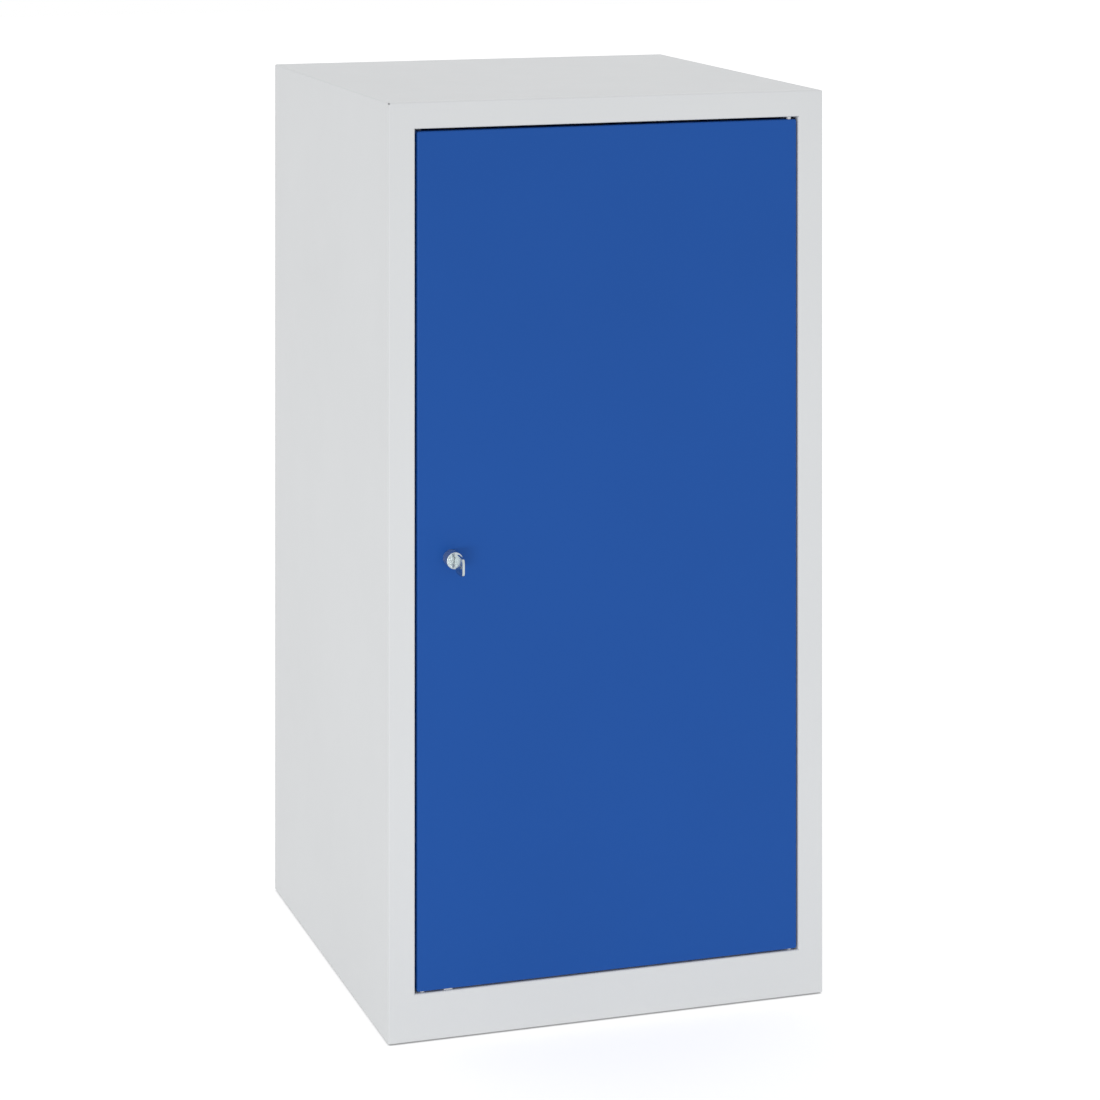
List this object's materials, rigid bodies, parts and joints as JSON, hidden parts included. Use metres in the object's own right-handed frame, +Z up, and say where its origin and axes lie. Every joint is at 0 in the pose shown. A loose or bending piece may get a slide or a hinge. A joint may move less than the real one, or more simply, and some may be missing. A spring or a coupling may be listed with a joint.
{
  "type": "metal storage cabinet",
  "caption": "Tall lockable sheet-steel storage cabinet with a single hinged flush door, a cam lock with its key, and adjustable shelves inside.",
  "frame": {"origin": "on the ground under the middle of the whole part, the key's end included", "axes": "+Z up, -Y towards the front where the door is, +X to the right seen from the front"},
  "size_m": [0.5, 0.545, 1],
  "materials": {
    "body_paint": "light grey powder coat",
    "door_paint": "blue powder coat",
    "galvanised": "galvanised spangle",
    "zinc_plate": "bright zinc",
    "lock_chrome": "satin chrome",
    "key_nickel": "nickel plate",
    "white_nylon": "natural nylon",
    "bumper_rubber": "soft rubber",
    "glide_plastic": "moulded plastic"
  },
  "bodies": {
    "carcass": {"left_side_panel": "body_paint", "right_side_panel": "body_paint", "top_panel": "body_paint", "floor_panel": "body_paint", "back_panel": "body_paint", "shelf_rail_front_left": "body_paint", "shelf_rail_front_right": "body_paint", "shelf_rail_rear_left": "body_paint", "shelf_rail_rear_right": "body_paint", "upper_hinge_plate": "body_paint", "lower_hinge_plate": "body_paint", "shelf_lower": "galvanised", "shelf_upper": "galvanised", "shelf_clips_lower": "galvanised", "shelf_clips_upper": "galvanised", "upper_hinge_pin": "zinc_plate", "lower_hinge_pin": "zinc_plate", "door_skid": "white_nylon", "door_bumpers": "bumper_rubber", "base_glides": "glide_plastic"},
    "door": {"door_panel": "door_paint", "door_stiffener": "door_paint", "lock_housing": "lock_chrome", "lock_nut": "zinc_plate", "upper_hinge_bush": "white_nylon", "lower_hinge_bush": "white_nylon", "spare_pivot_plug": "white_nylon"},
    "lock_plug": {"lock_plug": "lock_chrome", "lock_cam": "zinc_plate", "cam_washer": "zinc_plate", "cam_screw": "zinc_plate"},
    "key": {"key": "key_nickel"}
  },
  "joints": [
    {"name": "door_hinge", "type": "hinge", "parent": "carcass", "child": "door", "pos_m": [0.2114, -0.222, 0.5], "axis": [0, 0, 1], "range_deg": [0, 110]},
    {"name": "lock_turn", "type": "hinge", "parent": "door", "child": "lock_plug", "pos_m": [-0.1804, -0.2275, 0.51315], "axis": [0, 1, 0], "range_deg": [0, 90]},
    {"name": "key_withdraw", "type": "slide", "parent": "lock_plug", "child": "key", "axis": [0, -1, 0], "range_m": [0, 0.06]}
  ]
}
